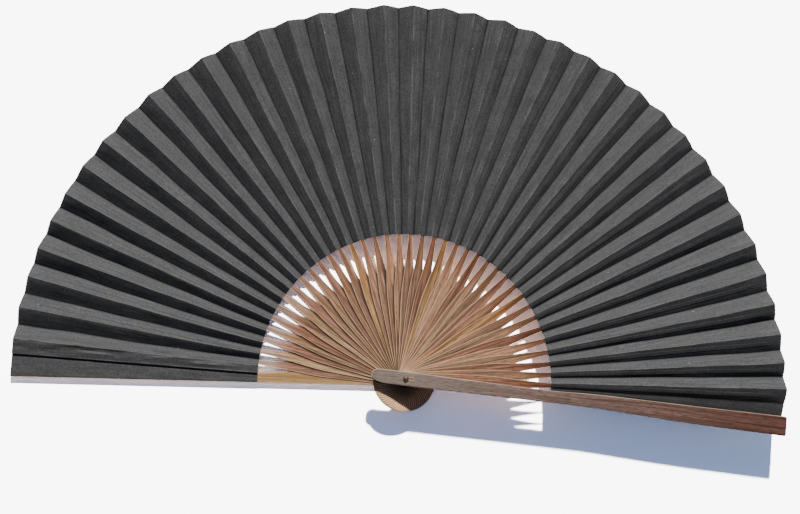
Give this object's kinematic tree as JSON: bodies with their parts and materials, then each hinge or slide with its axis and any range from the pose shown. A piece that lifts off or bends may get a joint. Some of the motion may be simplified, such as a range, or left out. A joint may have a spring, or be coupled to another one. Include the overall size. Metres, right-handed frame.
{
  "type": "folding fan",
  "caption": "Open folding fan with thin wooden ribs between two guards, a central rivet and a black pleated paper leaf that folds shut.",
  "frame": {"origin": "on the rivet's axis, at the rear guard's outer face", "axes": "+Z along the rivet from the rear guard to the front guard, -X along the rear guard, +Y towards the middle of the open leaf"},
  "size_m": [0.604, 0.3364, 0.0293],
  "materials": {
    "front_guard_wood": "smooth oiled wood with a fine straight grain",
    "rear_guard_wood": "smooth oiled wood with a fine straight grain",
    "rib_wood_light": "smooth thin wood, light tan",
    "rib_wood_brown": "smooth thin wood, tan brown",
    "rib_wood_middle": "smooth thin wood, pinkish brown",
    "rib_wood_red_brown": "smooth thin wood, reddish brown",
    "rib_wood_dark": "smooth thin wood, dark reddish brown",
    "leaf_front_paper": "black lacquered paper with a soft sheen",
    "leaf_back_paper": "black lacquered paper with a soft sheen",
    "rivet_horn": "polished dark horn"
  },
  "bodies": {
    "rear_frame": {"rear_guard": "rear_guard_wood", "rivet_pin": "rivet_horn", "rear_rivet_head": "rivet_horn", "leaf_front_sheet": "leaf_front_paper", "leaf_back_sheet": "leaf_back_paper"},
    "front_guard": {"front_guard": "front_guard_wood"},
    "rib_01": {"rib_01": "rib_wood_red_brown"},
    "rib_02": {"rib_02": "rib_wood_light"},
    "rib_03": {"rib_03": "rib_wood_dark"},
    "rib_04": {"rib_04": "rib_wood_middle"},
    "rib_05": {"rib_05": "rib_wood_brown"},
    "rib_06": {"rib_06": "rib_wood_red_brown"},
    "rib_07": {"rib_07": "rib_wood_light"},
    "rib_08": {"rib_08": "rib_wood_dark"},
    "rib_09": {"rib_09": "rib_wood_middle"},
    "rib_10": {"rib_10": "rib_wood_brown"},
    "rib_11": {"rib_11": "rib_wood_red_brown"},
    "rib_12": {"rib_12": "rib_wood_light"},
    "rib_13": {"rib_13": "rib_wood_dark"},
    "rib_14": {"rib_14": "rib_wood_middle"},
    "rib_15": {"rib_15": "rib_wood_brown"},
    "rib_16": {"rib_16": "rib_wood_red_brown"},
    "rib_17": {"rib_17": "rib_wood_light"},
    "rib_18": {"rib_18": "rib_wood_dark"},
    "rib_19": {"rib_19": "rib_wood_middle"},
    "rib_20": {"rib_20": "rib_wood_brown"},
    "rib_21": {"rib_21": "rib_wood_red_brown"},
    "rib_22": {"rib_22": "rib_wood_light"},
    "rib_23": {"rib_23": "rib_wood_dark"},
    "rib_24": {"rib_24": "rib_wood_middle"},
    "rib_25": {"rib_25": "rib_wood_brown"},
    "rib_26": {"rib_26": "rib_wood_red_brown"},
    "rib_27": {"rib_27": "rib_wood_light"},
    "rib_28": {"rib_28": "rib_wood_dark"},
    "rib_29": {"rib_29": "rib_wood_middle"},
    "rib_30": {"rib_30": "rib_wood_brown"},
    "rib_31": {"rib_31": "rib_wood_red_brown"},
    "rib_32": {"rib_32": "rib_wood_light"},
    "rib_33": {"rib_33": "rib_wood_dark"},
    "rib_34": {"rib_34": "rib_wood_middle"},
    "rib_35": {"rib_35": "rib_wood_brown"},
    "rib_36": {"rib_36": "rib_wood_red_brown"},
    "rib_37": {"rib_37": "rib_wood_light"},
    "rib_38": {"rib_38": "rib_wood_dark"}
  },
  "joints": [
    {"name": "fan_fold", "type": "hinge", "parent": "rear_frame", "child": "front_guard", "pos_m": [0, 0, 0], "axis": [0, 0, 1], "range_deg": [0, 185], "deforming": ["leaf_front_sheet", "leaf_back_sheet"]},
    {"name": "rib_01_turn", "type": "hinge", "parent": "rear_frame", "child": "rib_01", "pos_m": [0, 0, 0], "axis": [0, 0, 1], "range_deg": [0, 180.69]},
    {"name": "rib_02_turn", "type": "hinge", "parent": "rear_frame", "child": "rib_02", "pos_m": [0, 0, 0], "axis": [0, 0, 1], "range_deg": [0, 176.52]},
    {"name": "rib_03_turn", "type": "hinge", "parent": "rear_frame", "child": "rib_03", "pos_m": [0, 0, 0], "axis": [0, 0, 1], "range_deg": [0, 172.33]},
    {"name": "rib_04_turn", "type": "hinge", "parent": "rear_frame", "child": "rib_04", "pos_m": [0, 0, 0], "axis": [0, 0, 1], "range_deg": [0, 167.69]},
    {"name": "rib_05_turn", "type": "hinge", "parent": "rear_frame", "child": "rib_05", "pos_m": [0, 0, 0], "axis": [0, 0, 1], "range_deg": [0, 163.01]},
    {"name": "rib_06_turn", "type": "hinge", "parent": "rear_frame", "child": "rib_06", "pos_m": [0, 0, 0], "axis": [0, 0, 1], "range_deg": [0, 158.07]},
    {"name": "rib_07_turn", "type": "hinge", "parent": "rear_frame", "child": "rib_07", "pos_m": [0, 0, 0], "axis": [0, 0, 1], "range_deg": [0, 153.14]},
    {"name": "rib_08_turn", "type": "hinge", "parent": "rear_frame", "child": "rib_08", "pos_m": [0, 0, 0], "axis": [0, 0, 1], "range_deg": [0, 148.2]},
    {"name": "rib_09_turn", "type": "hinge", "parent": "rear_frame", "child": "rib_09", "pos_m": [0, 0, 0], "axis": [0, 0, 1], "range_deg": [0, 143.26]},
    {"name": "rib_10_turn", "type": "hinge", "parent": "rear_frame", "child": "rib_10", "pos_m": [0, 0, 0], "axis": [0, 0, 1], "range_deg": [0, 138.37]},
    {"name": "rib_11_turn", "type": "hinge", "parent": "rear_frame", "child": "rib_11", "pos_m": [0, 0, 0], "axis": [0, 0, 1], "range_deg": [0, 133.53]},
    {"name": "rib_12_turn", "type": "hinge", "parent": "rear_frame", "child": "rib_12", "pos_m": [0, 0, 0], "axis": [0, 0, 1], "range_deg": [0, 128.69]},
    {"name": "rib_13_turn", "type": "hinge", "parent": "rear_frame", "child": "rib_13", "pos_m": [0, 0, 0], "axis": [0, 0, 1], "range_deg": [0, 123.85]},
    {"name": "rib_14_turn", "type": "hinge", "parent": "rear_frame", "child": "rib_14", "pos_m": [0, 0, 0], "axis": [0, 0, 1], "range_deg": [0, 119.05]},
    {"name": "rib_15_turn", "type": "hinge", "parent": "rear_frame", "child": "rib_15", "pos_m": [0, 0, 0], "axis": [0, 0, 1], "range_deg": [0, 114.32]},
    {"name": "rib_16_turn", "type": "hinge", "parent": "rear_frame", "child": "rib_16", "pos_m": [0, 0, 0], "axis": [0, 0, 1], "range_deg": [0, 109.59]},
    {"name": "rib_17_turn", "type": "hinge", "parent": "rear_frame", "child": "rib_17", "pos_m": [0, 0, 0], "axis": [0, 0, 1], "range_deg": [0, 104.86]},
    {"name": "rib_18_turn", "type": "hinge", "parent": "rear_frame", "child": "rib_18", "pos_m": [0, 0, 0], "axis": [0, 0, 1], "range_deg": [0, 100.12]},
    {"name": "rib_19_turn", "type": "hinge", "parent": "rear_frame", "child": "rib_19", "pos_m": [0, 0, 0], "axis": [0, 0, 1], "range_deg": [0, 95.39]},
    {"name": "rib_20_turn", "type": "hinge", "parent": "rear_frame", "child": "rib_20", "pos_m": [0, 0, 0], "axis": [0, 0, 1], "range_deg": [0, 90.66]},
    {"name": "rib_21_turn", "type": "hinge", "parent": "rear_frame", "child": "rib_21", "pos_m": [0, 0, 0], "axis": [0, 0, 1], "range_deg": [0, 85.93]},
    {"name": "rib_22_turn", "type": "hinge", "parent": "rear_frame", "child": "rib_22", "pos_m": [0, 0, 0], "axis": [0, 0, 1], "range_deg": [0, 81.14]},
    {"name": "rib_23_turn", "type": "hinge", "parent": "rear_frame", "child": "rib_23", "pos_m": [0, 0, 0], "axis": [0, 0, 1], "range_deg": [0, 76.19]},
    {"name": "rib_24_turn", "type": "hinge", "parent": "rear_frame", "child": "rib_24", "pos_m": [0, 0, 0], "axis": [0, 0, 1], "range_deg": [0, 71.23]},
    {"name": "rib_25_turn", "type": "hinge", "parent": "rear_frame", "child": "rib_25", "pos_m": [0, 0, 0], "axis": [0, 0, 1], "range_deg": [0, 66.28]},
    {"name": "rib_26_turn", "type": "hinge", "parent": "rear_frame", "child": "rib_26", "pos_m": [0, 0, 0], "axis": [0, 0, 1], "range_deg": [0, 61.45]},
    {"name": "rib_27_turn", "type": "hinge", "parent": "rear_frame", "child": "rib_27", "pos_m": [0, 0, 0], "axis": [0, 0, 1], "range_deg": [0, 56.63]},
    {"name": "rib_28_turn", "type": "hinge", "parent": "rear_frame", "child": "rib_28", "pos_m": [0, 0, 0], "axis": [0, 0, 1], "range_deg": [0, 51.8]},
    {"name": "rib_29_turn", "type": "hinge", "parent": "rear_frame", "child": "rib_29", "pos_m": [0, 0, 0], "axis": [0, 0, 1], "range_deg": [0, 46.98]},
    {"name": "rib_30_turn", "type": "hinge", "parent": "rear_frame", "child": "rib_30", "pos_m": [0, 0, 0], "axis": [0, 0, 1], "range_deg": [0, 42.18]},
    {"name": "rib_31_turn", "type": "hinge", "parent": "rear_frame", "child": "rib_31", "pos_m": [0, 0, 0], "axis": [0, 0, 1], "range_deg": [0, 37.38]},
    {"name": "rib_32_turn", "type": "hinge", "parent": "rear_frame", "child": "rib_32", "pos_m": [0, 0, 0], "axis": [0, 0, 1], "range_deg": [0, 32.58]},
    {"name": "rib_33_turn", "type": "hinge", "parent": "rear_frame", "child": "rib_33", "pos_m": [0, 0, 0], "axis": [0, 0, 1], "range_deg": [0, 27.77]},
    {"name": "rib_34_turn", "type": "hinge", "parent": "rear_frame", "child": "rib_34", "pos_m": [0, 0, 0], "axis": [0, 0, 1], "range_deg": [0, 23.11]},
    {"name": "rib_35_turn", "type": "hinge", "parent": "rear_frame", "child": "rib_35", "pos_m": [0, 0, 0], "axis": [0, 0, 1], "range_deg": [0, 18.45]},
    {"name": "rib_36_turn", "type": "hinge", "parent": "rear_frame", "child": "rib_36", "pos_m": [0, 0, 0], "axis": [0, 0, 1], "range_deg": [0, 13.8]},
    {"name": "rib_37_turn", "type": "hinge", "parent": "rear_frame", "child": "rib_37", "pos_m": [0, 0, 0], "axis": [0, 0, 1], "range_deg": [0, 9.16]},
    {"name": "rib_38_turn", "type": "hinge", "parent": "rear_frame", "child": "rib_38", "pos_m": [0, 0, 0], "axis": [0, 0, 1], "range_deg": [0, 4.61]}
  ],
  "couplings": [
    {"joint": "rib_01_turn", "follows": "fan_fold", "ratio": 0.97641},
    {"joint": "rib_02_turn", "follows": "fan_fold", "ratio": 0.95385},
    {"joint": "rib_03_turn", "follows": "fan_fold", "ratio": 0.93121},
    {"joint": "rib_04_turn", "follows": "fan_fold", "ratio": 0.90614},
    {"joint": "rib_05_turn", "follows": "fan_fold", "ratio": 0.88083},
    {"joint": "rib_06_turn", "follows": "fan_fold", "ratio": 0.85416},
    {"joint": "rib_07_turn", "follows": "fan_fold", "ratio": 0.82749},
    {"joint": "rib_08_turn", "follows": "fan_fold", "ratio": 0.80078},
    {"joint": "rib_09_turn", "follows": "fan_fold", "ratio": 0.77407},
    {"joint": "rib_10_turn", "follows": "fan_fold", "ratio": 0.74765},
    {"joint": "rib_11_turn", "follows": "fan_fold", "ratio": 0.7215},
    {"joint": "rib_12_turn", "follows": "fan_fold", "ratio": 0.69534},
    {"joint": "rib_13_turn", "follows": "fan_fold", "ratio": 0.66919},
    {"joint": "rib_14_turn", "follows": "fan_fold", "ratio": 0.64321},
    {"joint": "rib_15_turn", "follows": "fan_fold", "ratio": 0.61763},
    {"joint": "rib_16_turn", "follows": "fan_fold", "ratio": 0.59206},
    {"joint": "rib_17_turn", "follows": "fan_fold", "ratio": 0.56649},
    {"joint": "rib_18_turn", "follows": "fan_fold", "ratio": 0.54091},
    {"joint": "rib_19_turn", "follows": "fan_fold", "ratio": 0.51534},
    {"joint": "rib_20_turn", "follows": "fan_fold", "ratio": 0.48977},
    {"joint": "rib_21_turn", "follows": "fan_fold", "ratio": 0.46419},
    {"joint": "rib_22_turn", "follows": "fan_fold", "ratio": 0.43828},
    {"joint": "rib_23_turn", "follows": "fan_fold", "ratio": 0.41152},
    {"joint": "rib_24_turn", "follows": "fan_fold", "ratio": 0.38475},
    {"joint": "rib_25_turn", "follows": "fan_fold", "ratio": 0.35799},
    {"joint": "rib_26_turn", "follows": "fan_fold", "ratio": 0.33186},
    {"joint": "rib_27_turn", "follows": "fan_fold", "ratio": 0.30579},
    {"joint": "rib_28_turn", "follows": "fan_fold", "ratio": 0.27973},
    {"joint": "rib_29_turn", "follows": "fan_fold", "ratio": 0.25367},
    {"joint": "rib_30_turn", "follows": "fan_fold", "ratio": 0.22771},
    {"joint": "rib_31_turn", "follows": "fan_fold", "ratio": 0.20175},
    {"joint": "rib_32_turn", "follows": "fan_fold", "ratio": 0.17578},
    {"joint": "rib_33_turn", "follows": "fan_fold", "ratio": 0.14982},
    {"joint": "rib_34_turn", "follows": "fan_fold", "ratio": 0.1246},
    {"joint": "rib_35_turn", "follows": "fan_fold", "ratio": 0.099459},
    {"joint": "rib_36_turn", "follows": "fan_fold", "ratio": 0.074316},
    {"joint": "rib_37_turn", "follows": "fan_fold", "ratio": 0.049231},
    {"joint": "rib_38_turn", "follows": "fan_fold", "ratio": 0.024615}
  ]
}
